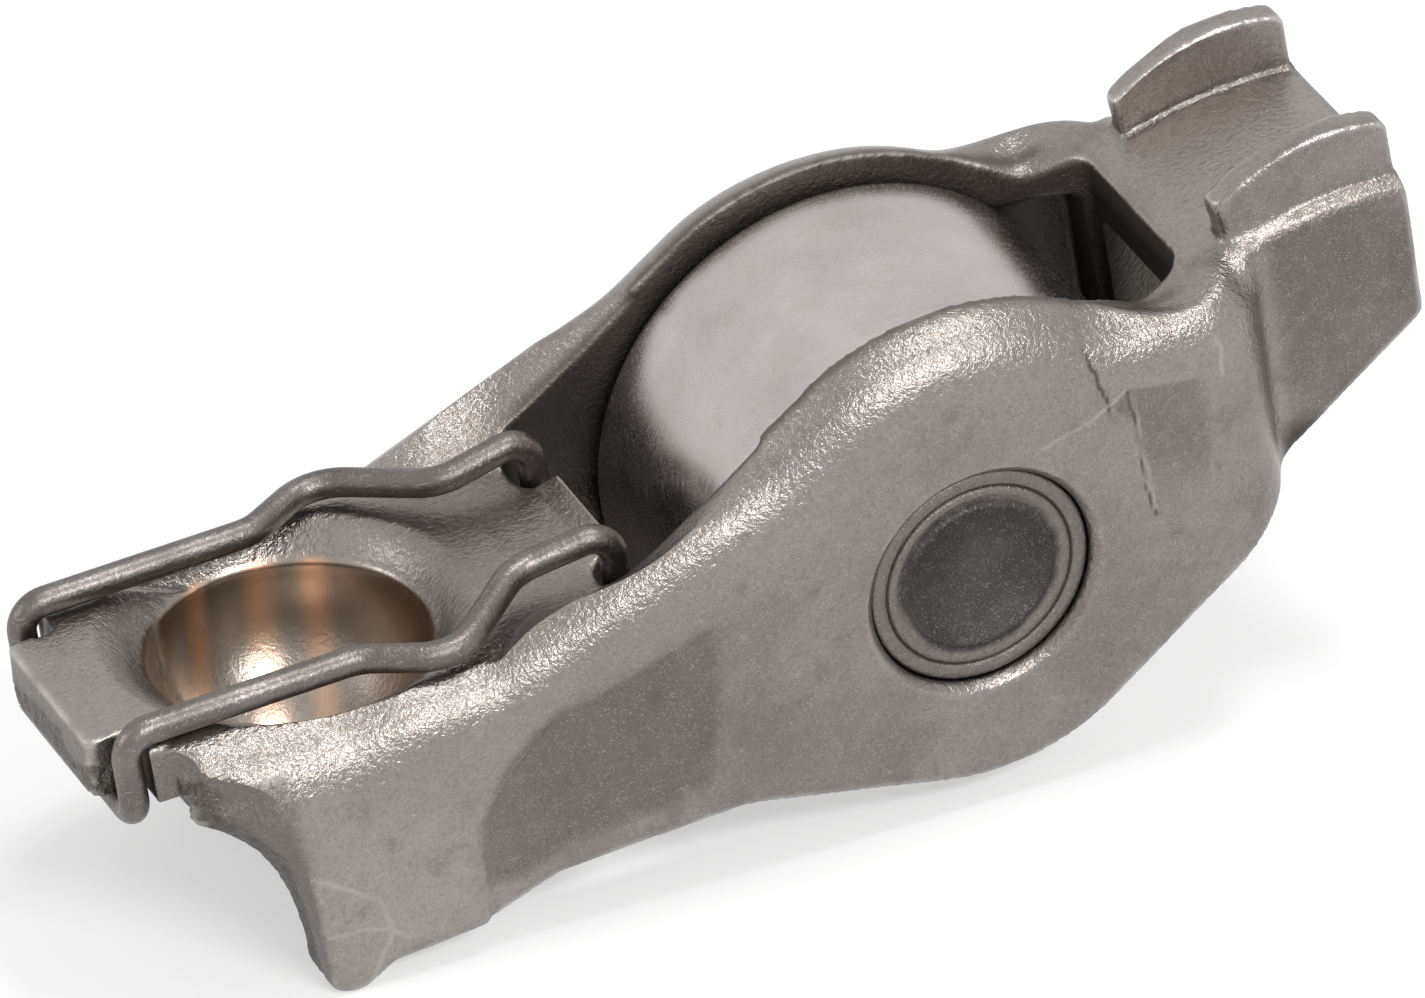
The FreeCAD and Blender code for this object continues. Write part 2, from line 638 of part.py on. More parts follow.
def wire_line(points, radii):
    """A centre line of straight runs through points, with a tangent arc at each inner
    one."""
    edges = []
    at = points[0]
    for before, corner, after, radius in zip(points, points[1:], points[2:], radii):
        inward, outward = (corner - before).normalize(), (after - corner).normalize()
        turn = inward.getAngle(outward)
        start = corner - inward * radius * math.tan(turn / 2)
        end = corner + outward * radius * math.tan(turn / 2)
        bow = radius / math.cos(turn / 2) - radius
        middle = corner + (outward - inward).normalize() * bow
        edges += [Part.LineSegment(at, start).toShape(), Part.Arc(start, middle, end).toShape()]
        at = end
    edges.append(Part.LineSegment(at, points[-1]).toShape())
    return Part.Wire(edges)


wire_radius = size("Sizes.wire / 2")
ABOVE = "(Sizes.wire / 2 + Sizes.clip_gap)"
LEG_REACH = f"({SLOT_REACH} + Sizes.leg_gap + Sizes.wire / 2)"


def near_point(reach, half_span, lift="0"):
    """A point of the clip's near side, lifted off its place on the pad."""
    return Vector(-size(reach), -size(half_span), size(f"{pad_level(reach)} + {ABOVE} + {lift}"))


near_side = [
    near_point("Sizes.hook_reach", "Sizes.hook_half_span", "Sizes.hook_lift - Sizes.hook_drop"),
    near_point("Sizes.hook_reach", "Sizes.hook_half_span", "Sizes.hook_lift"),
    near_point("Sizes.waist_reach", "Sizes.waist_half_span", "Sizes.waist_lift"),
    near_point("Sizes.bulge_reach", "Sizes.bulge_half_span"),
    near_point("Sizes.bulge_start", "Sizes.clip_half_span"),
    near_point(LEG_REACH, "Sizes.clip_half_span"),
    near_point(LEG_REACH, "Sizes.clip_half_span", f"(-2 * {ABOVE} - Sizes.plate)"),
]
far_side = [Vector(point.x, -point.y, point.z) for point in reversed(near_side)]
bend, curve = size("Sizes.wire_bend"), size("Sizes.wire_curve")
bends = [bend, curve, curve, curve, bend, bend]
centre_line = wire_line(near_side + far_side, bends + bends[::-1])
wire_end = Part.Wire(Part.makeCircle(wire_radius, near_side[0], Vector(0, 0, 1)))
clip = doc.addObject("Part::Feature", "Clip")
clip.Shape = centre_line.makePipeShell([wire_end], True, False)

# Rest: the roller and the two feet stand on one level surface.

foot = Vector(size("Sizes.foot_round - Sizes.wall_reach"), 0,
              size("Sizes.foot_round - Sizes.foot_depth"))
drop = size("Sizes.foot_round - Sizes.roller_diameter / 2")
tilt = math.degrees(math.atan2(foot.x, foot.z) + math.acos(drop / foot.Length))
rest = FreeCAD.Placement(Vector(), FreeCAD.Rotation(Vector(0, 1, 0), -tilt))

nodes = {"arm": arm, "pin": pin, "roller": roller, "clip": clip}
nodes.update({needle.Label: needle for needle in needles})
for label, node in nodes.items():
    node.Label = label
    node.Placement = rest.multiply(node.Placement)
doc.recompute()

for item in doc.Objects:
    if "Invalid" in item.State or "Error" in item.State:
        raise RuntimeError(f"{item.Name} failed: {item.State}")
for label, node in nodes.items():
    if node.Shape.isNull() or not node.Shape.isValid():
        raise RuntimeError(f"{label} has no valid shape")

os.makedirs("parts", exist_ok=True)
for label, node in nodes.items():
    node.Shape.exportStep(f"parts/{label}.step")
    print(label, round(node.Shape.Volume, 2), len(node.Shape.Solids), len(node.Shape.Faces))
print("rest tilt", round(tilt, 3))
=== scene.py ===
import math

import bmesh
import bpy
import numpy as np
from mathutils import Matrix, Vector, noise


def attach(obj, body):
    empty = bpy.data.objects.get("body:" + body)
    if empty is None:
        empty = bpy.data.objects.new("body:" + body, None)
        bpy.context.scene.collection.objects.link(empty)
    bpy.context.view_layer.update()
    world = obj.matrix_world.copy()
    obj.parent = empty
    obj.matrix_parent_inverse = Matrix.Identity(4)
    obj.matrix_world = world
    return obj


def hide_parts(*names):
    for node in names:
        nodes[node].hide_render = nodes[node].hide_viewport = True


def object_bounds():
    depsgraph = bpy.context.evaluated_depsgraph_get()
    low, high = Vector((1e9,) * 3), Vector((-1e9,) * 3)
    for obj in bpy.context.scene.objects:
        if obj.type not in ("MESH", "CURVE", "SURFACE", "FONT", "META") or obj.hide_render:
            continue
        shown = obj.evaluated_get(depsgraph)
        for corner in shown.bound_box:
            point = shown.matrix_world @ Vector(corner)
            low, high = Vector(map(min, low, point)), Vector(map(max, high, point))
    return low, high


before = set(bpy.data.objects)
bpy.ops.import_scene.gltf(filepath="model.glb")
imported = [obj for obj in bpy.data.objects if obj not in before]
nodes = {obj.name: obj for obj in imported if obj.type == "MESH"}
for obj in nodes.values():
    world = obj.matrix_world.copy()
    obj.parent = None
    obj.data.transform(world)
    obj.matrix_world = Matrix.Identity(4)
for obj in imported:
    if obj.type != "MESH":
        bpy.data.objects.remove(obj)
cad_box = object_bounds()
scene = bpy.context.scene

# Studio: a white sheet under a white room, two soft boxes, and a long lens that looks down
# on the ball socket's end and the near wall. The eye, the reflections and the light each
# see the room at a level of their own, and the sheet keeps the arm's shadow.

scene.view_settings.view_transform = "Standard"

camera = bpy.data.objects.new("camera", bpy.data.cameras.new("camera"))
camera.data.lens = 458.193
camera.data.sensor_width = 36.0
camera.data.clip_start = 0.05
camera.data.clip_end = 10.0
camera_right = Vector((0.904492, -0.424357, -0.042607))
camera_up = Vector((0.265114, 0.481179, 0.835573))
camera_turn = Matrix((camera_right, camera_up, camera_right.cross(camera_up))).transposed()
camera.matrix_world = (Matrix.Translation((-0.206963, -0.460239, 0.329815))
                       @ camera_turn.to_4x4())
scene.collection.objects.link(camera)
scene.camera = camera


def fit(tree, kind, inputs=None, **settings):
    """A node of a tree, with its settings made and its sockets set or wired."""
    node = tree.nodes.new(kind)
    for name, value in settings.items():
        setattr(node, name, value)
    for socket, value in (inputs or {}).items():
        if isinstance(value, bpy.types.NodeSocket):
            tree.links.new(value, node.inputs[socket])
        else:
            node.inputs[socket].default_value = value
    return node


def sum_up(tree, operation, *values):
    """The result of a sum on numbers or sockets."""
    return fit(tree, "ShaderNodeMath", dict(enumerate(values)), operation=operation).outputs[0]


def lay_over(tree, share, under, over):
    """A colour with another laid over it by a share."""
    return fit(tree, "ShaderNodeMix", {0: share, 6: under, 7: over}, data_type="RGBA").outputs[2]


def between(tree, share, low, high):
    """A value that goes from low to high with a share."""
    return fit(tree, "ShaderNodeMapRange", {0: share, 3: low, 4: high}).outputs[0]


def seen_share(tree):
    """1 for the rays that show the room itself: to the eye, in metal and through glass."""
    path = fit(tree, "ShaderNodeLightPath")
    seen = sum_up(tree, "MAXIMUM", path.outputs["Is Camera Ray"], path.outputs["Is Glossy Ray"])
    return sum_up(tree, "MAXIMUM", seen, path.outputs["Is Transmission Ray"])


room = bpy.data.worlds.new("white_room")
scene.world = room
room.use_nodes = True
room_tree = room.node_tree
room_tree.nodes["Background"].inputs["Color"].default_value = (1, 1, 1, 1)
room_tree.links.new(between(room_tree, seen_share(room_tree), 0.5, 1.0),
                    room_tree.nodes["Background"].inputs["Strength"])

sheet_reach = 3.0
sheet_height = cad_box[0][2]
sheet_mesh = bpy.data.meshes.new("white_sheet")
sheet_mesh.from_pydata([(-sheet_reach, -sheet_reach, sheet_height),
                        (sheet_reach, -sheet_reach, sheet_height),
                        (sheet_reach, sheet_reach, sheet_height),
                        (-sheet_reach, sheet_reach, sheet_height)], [], [(0, 1, 2, 3)])
white_paper = bpy.data.materials.new("white_paper")
white_paper.use_nodes = True
paper_tree = white_paper.node_tree
paper_shader = paper_tree.nodes["Principled BSDF"]
paper_seen = seen_share(paper_tree)
paper_colour = lay_over(paper_tree, paper_seen, (0.75, 0.75, 0.75, 1), (0.55, 0.55, 0.55, 1))
paper_tree.links.new(paper_colour, paper_shader.inputs["Base Color"])
paper_shader.inputs["Roughness"].default_value = 0.9
paper_shader.inputs["Emission Color"].default_value = (1, 1, 1, 1)
paper_tree.links.new(between(paper_tree, paper_seen, 0.0, 0.5),
                     paper_shader.inputs["Emission Strength"])
sheet_mesh.materials.append(white_paper)
white_sheet = bpy.data.objects.new("white_sheet", sheet_mesh)
scene.collection.objects.link(white_sheet)


def hang_soft_box(name, place, width, height, power):
    """A soft lamp that faces the arm, so wide and so high."""
    lamp = bpy.data.lights.new(name, "AREA")
    lamp.shape = "RECTANGLE"
    lamp.size = width
    lamp.size_y = height
    lamp.energy = power
    soft_box = bpy.data.objects.new(name, lamp)
    soft_box.location = place
    soft_box.rotation_euler = (-Vector(place)).to_track_quat("-Z", "Y").to_euler()
    scene.collection.objects.link(soft_box)


hang_soft_box("soft_box_above", (0.12, 0.0, 0.48), 0.14, 0.10, 0.8)
hang_soft_box("soft_box_front", (0.05, -0.37, 0.33), 0.22, 0.08, 1.1)
hang_soft_box("soft_box_left", (-0.42, 0.12, 0.22), 0.12, 0.12, 0.3)

# Arm: one blank of steel sheet, sheared to shape, folded into a channel with a ball cup
# drawn into it, hardened and tumbled. Its bends keep the sheet's orange-peel skin, its
# sheared faces are torn and dark, and its outer edges are worn pale.

# The arm is shaped in millimetres, level as in its die, with the pin's axis at the origin.
LEAN = math.radians(6.003)
DIE_FRAME = Matrix.Scale(1000, 4) @ Matrix.Rotation(LEAN, 4, "Y")
SHEET_THICKNESS = 2.25
WALL_FACE = 7.2
CHANNEL_FACE = 4.95
SEAT_CENTRE = (-21.8, 0, 2.21)
SEAT_RADIUS = 4.7
PAD_START = -24.8
PAD_SLOPE = -0.0594
SWEEP_CENTRE = (-30.1, -0.574)
SWEEP_RADIUS = 5.3

blank = bmesh.new()
blank.from_mesh(nodes["arm"].data)
bmesh.ops.remove_doubles(blank, verts=blank.verts, dist=1e-6)
blank.transform(DIE_FRAME)


def fill_bend(start, end):
    """Add steel between two ends that have the same number of corners."""
    start_loop = [blank.verts.new(corner) for corner in start]
    end_loop = [blank.verts.new(corner) for corner in end]
    faces = [blank.faces.new(start_loop), blank.faces.new(end_loop)]
    for i in range(len(start)):
        faces.append(blank.faces.new((start_loop[i - 1], start_loop[i],
                                      end_loop[i], end_loop[i - 1])))
    bmesh.ops.recalc_face_normals(blank, faces=faces)


def sheared_end(height):
    """Where the round sweep at the socket end cuts a wall, at a height."""
    rise = np.clip(height - SWEEP_CENTRE[1], 0, 4.5)
    return np.sqrt(SWEEP_RADIUS ** 2 - rise ** 2) + SWEEP_CENTRE[0]


# The inner bend between the neck and each side of the valve end, from under the neck to
# the crest
for side in (-1, 1):
    section = [(12.52 - math.sin(turn), 5.9 - math.cos(turn))
               for turn in np.linspace(math.radians(65), 0, 7)]
    section += [(12.52, 4.6), (11.2, 4.6), (11.2, 5.3)]
    fill_bend([(along, side * across, 0.613 * along - 8.85) for along, across in section],
              [(along, side * across, 4.6 + 0.205 * along) for along, across in section])

# The inner bend between the web and each wall at the socket end. Its end face follows the
# sweep that the walls are sheared to, and it runs out beside the cup.
BEND_CORNER = 1.75
BEND_RADIUS = 1.6
BEND_TIP = (-23.4, 5.2, 1.6)
TIP_SHARE = 0.05
for side in (-1, 1):
    section = [(CHANNEL_FACE - BEND_RADIUS * (1 - math.sin(turn)),
                BEND_CORNER - BEND_RADIUS * (1 - math.cos(turn)))
               for turn in np.linspace(0, math.pi / 2, 9)]
    section += [(5.4, BEND_CORNER - BEND_RADIUS), (5.4, BEND_CORNER + 0.4),
                (CHANNEL_FACE - BEND_RADIUS, BEND_CORNER + 0.4)]
    fill_bend([(sheared_end(height), side * across, height) for across, height in section],
              [(BEND_TIP[0], side * (BEND_TIP[1] + TIP_SHARE * (across - BEND_TIP[1])),
                BEND_TIP[2] + TIP_SHARE * (height - BEND_TIP[2])) for across, height in section])

blank_mesh = bpy.data.meshes.new("arm_blank")
blank.to_mesh(blank_mesh)
blank.free()
arm_blank = bpy.data.objects.new("arm_blank", blank_mesh)
scene.collection.objects.link(arm_blank)
skin = arm_blank.modifiers.new("skin", "REMESH")
skin.mode = "VOXEL"
skin.voxel_size = 0.11
tumbled = arm_blank.modifiers.new("tumbled", "SMOOTH")
tumbled.factor = 0.5
tumbled.iterations = 5


def finished_mesh(piece):
    """The mesh that a piece's modifiers make."""
    depsgraph = bpy.context.evaluated_depsgraph_get()
    return bpy.data.meshes.new_from_object(piece.evaluated_get(depsgraph))


arm_mesh = finished_mesh(arm_blank)
bpy.data.objects.remove(arm_blank)

count = len(arm_mesh.vertices)
spots = np.empty(count * 3, np.float32)
arm_mesh.vertices.foreach_get("co", spots)
spots = spots.reshape(-1, 3).astype(float)
ends = np.empty(len(arm_mesh.edges) * 2, np.int32)
arm_mesh.edges.foreach_get("vertices", ends)
first, last = ends.reshape(-1, 2).T
neighbours = np.bincount(first, minlength=count) + np.bincount(last, minlength=count)


def from_neighbours(values):
    """The mean of each point's neighbours."""
    if values.ndim == 2:
        return np.stack([from_neighbours(column) for column in values.T], axis=1)
    total = np.bincount(first, weights=values[last], minlength=count)
    return (total + np.bincount(last, weights=values[first], minlength=count)) / neighbours


def relax(places, share, rounds):
    """Draw points towards the mean of their neighbours, each by its own share."""
    for _ in range(rounds):
        places += share[:, None] * 0.6 * (from_neighbours(places) - places)


def outward(mesh):
    """The direction that the surface faces at each point."""
    normals = np.empty(len(mesh.vertices) * 3, np.float32)
    mesh.vertex_normals.foreach_get("vector", normals)
    return normals.reshape(-1, 3).astype(float)


def ease(low, high, values):
    """0 up to low, 1 from high on, and a smooth rise between them."""
    share = np.clip((values - low) / (high - low), 0, 1)
    return share * share * (3 - 2 * share)


def gap_to_line(line, along, up):
    """Distance of points in a side view from a broken line."""
    gap = np.full(len(along), np.inf)
    for (x0, y0), (x1, y1) in zip(line, line[1:]):
        run, rise = x1 - x0, y1 - y0
        share = np.clip(((along - x0) * run + (up - y0) * rise) / (run * run + rise * rise), 0, 1)
        gap = np.minimum(gap, np.hypot(along - x0 - share * run, up - y0 - share * rise))
    return gap


def within(outline, along, up):
    """Distance inside an outline, in a side view. It is below zero outside."""
    gap = gap_to_line(outline + outline[:1], along, up)
    inside = np.zeros(len(along), bool)
    for (x0, y0), (x1, y1) in zip(outline, outline[1:] + outline[:1]):
        if y0 != y1:
            crosses = (y0 > up) != (y1 > up)
            inside ^= crosses & (along < x0 + (up - y0) * (x1 - x0) / (y1 - y0))
    return np.where(inside, gap, -gap)


def grain(places, size, seed):
    """Smooth noise between -1 and 1 with lumps of a size."""
    return np.array([noise.noise(Vector(place) / size + Vector((seed, seed, seed)))
                     for place in places])


# These three stay with the points as they move.
along, across, up = spots.T

# The crest is pressed soft round the window's valve end and at the foot of the hump.
crest = (ease(6.5, 8.0, along) * ease(14.2, 12.6, along) * ease(3.6, 4.6, np.abs(across))
         * ease(4.2, 5.6, up))
crest += (ease(-9.6, -8.4, along) * ease(-3.6, -4.8, along) * ease(4.9, 5.1, np.abs(across))
          * ease(5.2, 6.0, up))
relax(spots, crest, 45)

# The bend along the pad is as round as the one over the hump, and opens out further at
# the socket end. Its rim follows the pad, and from there the hump's flank.
HUMP_BEND = 2.2
BEND_OPENING = 1.2
SOCKET_BEND = 3.4
RIM_BLEND = 8
pad_line = 4.02 + PAD_SLOPE * (along - PAD_START)
flank_line = 9.363 + 0.3346 * along
rim_level = np.logaddexp(RIM_BLEND * pad_line, RIM_BLEND * flank_line) / RIM_BLEND
bend_radius = HUMP_BEND + BEND_OPENING * ease(-19.5, -23.0, along)
outside = bend_radius - WALL_FACE + np.abs(across)
above = bend_radius - rim_level + up
reach = np.hypot(outside, above)
beyond = (outside > 0) & (above > 0) & (reach > bend_radius)
pull = np.where(beyond, 1 - bend_radius / reach, 0) * ease(-7.0, -9.0, along)
spots[:, 1] -= np.sign(across) * outside * pull
spots[:, 2] -= above * pull

# The socket end of each wall is sheared aslant, so its inner edge stands further out, and
# its line runs round the bend to the slot. There it leaves room for the clip's leg.
SLOT_SIDE = 4.45
LEG_ROOM = -28.65
SLANT_REACH = 3
outside = SOCKET_BEND - WALL_FACE + np.abs(across)
above = SOCKET_BEND - rim_level + up
reach = np.hypot(outside, above)
sheared_line = sheared_end(up)
turn = np.degrees(np.arctan2(np.maximum(outside, 0), np.maximum(above, 1e-6)))
on_bend = above > 0
bent_line = np.interp(turn, [0, 15, 30, 45, 60, 75, 90],
                      [-28.6, -27.94, -26.88, -26.12, -25.54, -25.25, -24.93])
depth = np.where(on_bend, SOCKET_BEND - reach, WALL_FACE - np.abs(across)) / SHEET_THICKNESS
depth = np.clip(depth, 0, 1)
slant = np.where(on_bend, np.interp(turn, [0, 20, 44, 68, 90], [0.0, 1.1, 2.4, 2.7, 2.5]),
                 np.interp(up, [-5.0, -4.0, -2.8, -1.8, -1.0, -0.4, 0.15, 0.58],
                           [0.0, 0.1, 0.3, 0.65, 1.1, 1.6, 2.05, 2.5]))
move = np.where(on_bend, bent_line - sheared_line, 0) - slant * depth
move *= ease(SLOT_SIDE, 4.75, np.abs(across)) * np.clip(1 - (along - sheared_line) / SLANT_REACH,
                                                        0, 1)
spots[:, 0] = np.where(np.abs(across) > SLOT_SIDE,
                       np.maximum(along + move, np.minimum(along, LEG_ROOM)), along)

# Tumbling softens that end face, and the rim beside the cup.
face_gap = spots[:, 0] - np.where(on_bend, bent_line, sheared_line) + slant * depth
end_zone = ease(0.9, 0.3, np.abs(face_gap)) * ease(4.5, 4.7, np.abs(across))
end_zone += (ease(-21.5, -20.5, along) * ease(-16.5, -17.5, along) * ease(2.4, 3.0, up)
             * ease(3.9, 4.2, np.abs(across)) * ease(6.0, 5.6, np.abs(across)))
relax(spots, end_zone, 16)

arm_mesh.vertices.foreach_set("co", spots.astype(np.float32).ravel())
arm_mesh.update()
normals = outward(arm_mesh)
lean_along, lean_across, lean_up = normals.T
half = np.abs(across)
outer = ease(0.75, 0.9, np.abs(lean_across)) * (half > 6.2)
near = outer * (across < 0)

# Depth below the walls' rim, whose height is taken at every half millimetre of length
RIM_STEPS = 120
rim_step = np.clip(((along + 32) * 2).astype(int), 0, RIM_STEPS - 1)
rim_top = np.full(RIM_STEPS, -20.0)
np.maximum.at(rim_top, rim_step[half > 5.2], up[half > 5.2])
below_rim = np.interp(along, np.arange(RIM_STEPS) / 2 - 31.75, rim_top) - up

# The step round each coined flat is soft.
COINED_FLAT = [
    (-19.2, -4.25), (-18.8, -1.9), (-18.3, -0.9), (-17.75, 0.07), (-17.1, 0.6), (-16.5, 0.95),
    (-15.7, 1.42), (-15.15, 1.57), (-14.3, 1.4), (-13.9, 1.6), (-12.9, 1.8), (-12.0, 2.0),
    (-10.85, 2.25), (-10.1, 2.5), (-9.55, 2.4), (-9.4, 1.7), (-9.9, -1.0), (-10.6, -3.6),
    (-12.4, -4.0), (-15.6, -3.95), (-17.6, -4.6)]
STEP_WIDTH = 0.45
relax(spots, np.exp(-(within(COINED_FLAT, along, up) / STEP_WIDTH) ** 2) * outer, 30)

# The ball's seat is burnished to an even round.
seat_gap = np.linalg.norm(spots - np.array(SEAT_CENTRE), axis=1)
seat = ease(5.1, 4.9, seat_gap) * ease(0.5, 0.0, up - 2.2)
relax(spots, seat, 10)
spots += seat[:, None] * (spots - np.array(SEAT_CENTRE)) * (SEAT_RADIUS / seat_gap - 1)[:, None]

# The finish of each area, from 0 to 1: sheared faces, the rolled fold, the burnished seat,
# and painted shade on the inside of the channel
WINDOW_START = -12.4
web_level = 3.95 + (along - PAD_START) * PAD_SLOPE - 2.3
window_wall = ((along > WINDOW_START) & (along < 10.4) & (half < 5.1) & (up > web_level)
               & (np.abs(lean_up) < 0.6))
wall_end = (along < -23.2) & (lean_along < -0.45) & (half > 4.6)
tongue_end = (along < -24.9) & (np.abs(lean_up) < 0.6)
lower_edge = (lean_up < -0.55) & (half > 4.7) & (up < 1.5)
valve_face = (along > 17.0) & (lean_along > 0.5)
valve_face |= (along > 12) & (lean_up < -0.3) & (half > 2.5)
window_wall |= ((along > WINDOW_START) & (along < 9.0) & (half > 4.8) & (half < 5.25)
                & (below_rim < 0.9))
sheared = (window_wall | wall_end | tongue_end | lower_edge | valve_face).astype(float)
fold = ease(4.6, 1.2, below_rim) * ease(4.6, 5.4, half) * ease(13.0, 11.5, along)
polished = ease(4.98, 4.74, seat_gap) * (up > -2.7)
inside = (half < 5.05) & (up < web_level + 0.2) & (lean_up < 0.3) & (seat_gap > 5.2)
inside |= (along > 9.5) & (half < 3.2) & (up < 5.9)

# The faces that a punch has coined: a flat on each wall, a second one on the near wall, and
# the sides of the valve end. The socket end is paler, and the upward faces of the valve end's
# top are made paler as a painted highlight.
SECOND_FLAT = [
    (5.37, 4.72), (5.96, 5.24), (7.14, 4.9), (9.01, 4.49), (8.81, 2.78), (8.55, 1.67),
    (8.3, -0.4), (6.27, -0.4), (6.11, 2.32), (6.08, 3.97)]
first_depth = ease(-0.12, 0.3, within(COINED_FLAT, along, up)) * outer
second_depth = (ease(-0.05, 0.08, within(SECOND_FLAT, along, up)) * near * ease(-0.6, 2.6, up)
                * ease(9.0, 8.3, along))
valve_side = ease(12.2, 12.9, along) * (np.abs(lean_across) > 0.8) * (half > 4.6)
coined = np.maximum(np.maximum(first_depth, 0.8 * second_depth), 0.9 * valve_side)
valve_top = ease(9.5, 11.0, along) * ease(4.2, 3.8, half) * (lean_up > 0.8)
pale = np.maximum(0.35 * ease(-15.0, -21.5, along) * (1 - fold), 0.35 * valve_top)

# Marks of the press on the near wall: a drawn crack over the hump, a raised crease, and
# the dull facets at the foot. Each has its line, its half width and its height.
PRESS_MARKS = [
    ([(4.28, 8.81), (4.79, 7.26), (4.98, 5.96), (5.24, 4.62)], 0.06, -0.045),
    ([(5.96, 5.24), (6.08, 3.97), (6.11, 2.32), (6.27, -0.01)], 0.06, -0.04),
    ([(6.10, 5.0), (6.20, 3.9), (6.24, 2.3), (6.36, 0.3)], 0.07, 0.03),
    ([(5.96, 5.24), (4.5, 4.55), (3.2, 4.35), (2.4, 4.1)], 0.06, 0.012),
    ([(-24.54, -1.44), (-22.66, -3.03), (-22.41, -4.42), (-23.5, -6.17)], 0.08, 0.014),
    ([(-22.41, -4.42), (-22.01, -4.81), (-20.95, -5.29)], 0.07, 0.012),
    ([(-24.6, -3.8), (-23.4, -3.9), (-22.5, -4.3)], 0.06, 0.012),
    ([(9.3, 6.6), (9.5, 5.4), (9.4, 4.4)], 0.07, 0.02),
]
waver = grain(spots, 0.5, 3.1) * 0.08
breaks = ease(-0.75, 0.1, grain(spots, 0.9, 7.7))
pressed = np.zeros(count)
burr = np.zeros(count)
for line, width, height in PRESS_MARKS:
    mark = ease(width * 1.7, width * 0.3, gap_to_line(line, along + waver, up)) * near * breaks
    pressed += height * mark
    burr = np.maximum(burr, mark * (height > 0))
crack = ease(0.0, 0.04, -pressed)

# The skin's own relief: a soft ripple where it isn't burnished, and torn steel where it
# was sheared
ripple = (grain(spots, 2.4, 1.7) * 0.018 + grain(spots, 0.8, 5.3) * 0.004) * (1 - polished)
torn_strip = wall_end & (depth > 0.45 + 0.2 * grain(spots, 1.2, 4.4))
torn_strip |= tongue_end & (up < 3.3 + 0.5 * grain(spots, 1.0, 6.4)) & (half < 3.3)
torn = grain(spots, 0.2, 9.2) * 0.6 + grain(spots, 0.45, 2.2) * 0.7
lift = (pressed + ripple + torn * (0.006 * sheared + 0.05 * torn_strip) - 0.04 * torn_strip
        - 0.05 * second_depth)
spots += normals * lift[:, None]

# Worn edges are where the skin bulges out, and painted shade darkens the skin where it is hollow.
bulge = np.einsum("ij,ij->i", spots - from_neighbours(from_neighbours(spots)), normals)
for _ in range(3):
    bulge = 0.4 * bulge + 0.6 * from_neighbours(bulge)
wear = ease(0.0045, 0.022, bulge)
hollow = ease(0.004, 0.02, -bulge) * ease(4.4, 4.8, np.hypot(along, up))
finishes_and_shades = {"sheared": sheared, "torn": torn_strip.astype(float),
            "cut": window_wall.astype(float), "inside": inside.astype(float)}
for _ in range(4):
    finishes_and_shades = {name: from_neighbours(values) for name, values in finishes_and_shades.items()}
    hollow = 0.5 * hollow + 0.5 * from_neighbours(hollow)
finishes_and_shades.update(wear=wear, hollow=hollow, fold=fold, polished=polished, coined=coined,
                burr=burr, crack=crack, pale=pale)

arm_mesh.vertices.foreach_set("co", spots.astype(np.float32).ravel())
for name, values in finishes_and_shades.items():
    finish = arm_mesh.attributes.new(name, "FLOAT", "POINT")
    finish.data.foreach_set("value", values.astype(np.float32))
arm_mesh.transform(DIE_FRAME.inverted())

KEPT_FACES = 92000
arm_sheet = bpy.data.objects.new("arm_sheet", arm_mesh)
scene.collection.objects.link(arm_sheet)
thinned = arm_sheet.modifiers.new("thinned", "DECIMATE")
thinned.ratio = KEPT_FACES / len(arm_mesh.polygons)
thinned_mesh = finished_mesh(arm_sheet)
arm_sheet.modifiers.remove(thinned)
arm_sheet.data = thinned_mesh
thinned_mesh.shade_smooth()


def new_group(name, inputs, outputs):
    """An empty shader group with its sockets, and its two end nodes."""
    group = bpy.data.node_groups.new(name, "ShaderNodeTree")
    for socket, kind, value in inputs:
        made = group.interface.new_socket(socket, in_out="INPUT", socket_type=kind)
        if value is not None:
            made.default_value = value
    for socket in outputs:
        group.interface.new_socket(socket, in_out="OUTPUT", socket_type="NodeSocketFloat")
    return group, group.nodes.new("NodeGroupInput"), group.nodes.new("NodeGroupOutput")


# Fine scratches: short straight lines in four directions, bent a little, as tumbled steel
# gets from its neighbours.
scratches, given, made = new_group("fine_scratches", [
    ("Vector", "NodeSocketVector", None), ("Length", "NodeSocketFloat", 0.0012),
    ("Fineness", "NodeSocketFloat", 24.0), ("Share", "NodeSocketFloat", 0.15)], ["Mask"])
bend = fit(scratches, "ShaderNodeTexNoise", {"Vector": given.outputs["Vector"], "Scale": 350.0,
                                             "Detail": 1.0})
bend_offset = fit(scratches, "ShaderNodeVectorMath", {
    0: bend.outputs["Color"], 1: (0.5, 0.5, 0.5)}, operation="SUBTRACT")
bent = fit(scratches, "ShaderNodeVectorMath", {
    0: bend_offset.outputs[0], 1: (0.0004, 0.0004, 0.0004), 2: given.outputs["Vector"]},
    operation="MULTIPLY_ADD")
per_length = sum_up(scratches, "DIVIDE", 1.0, given.outputs["Length"])
across_scale = sum_up(scratches, "MULTIPLY", per_length, given.outputs["Fineness"])
stretch = fit(scratches, "ShaderNodeCombineXYZ", {0: per_length, 1: across_scale, 2: across_scale})
lines = None
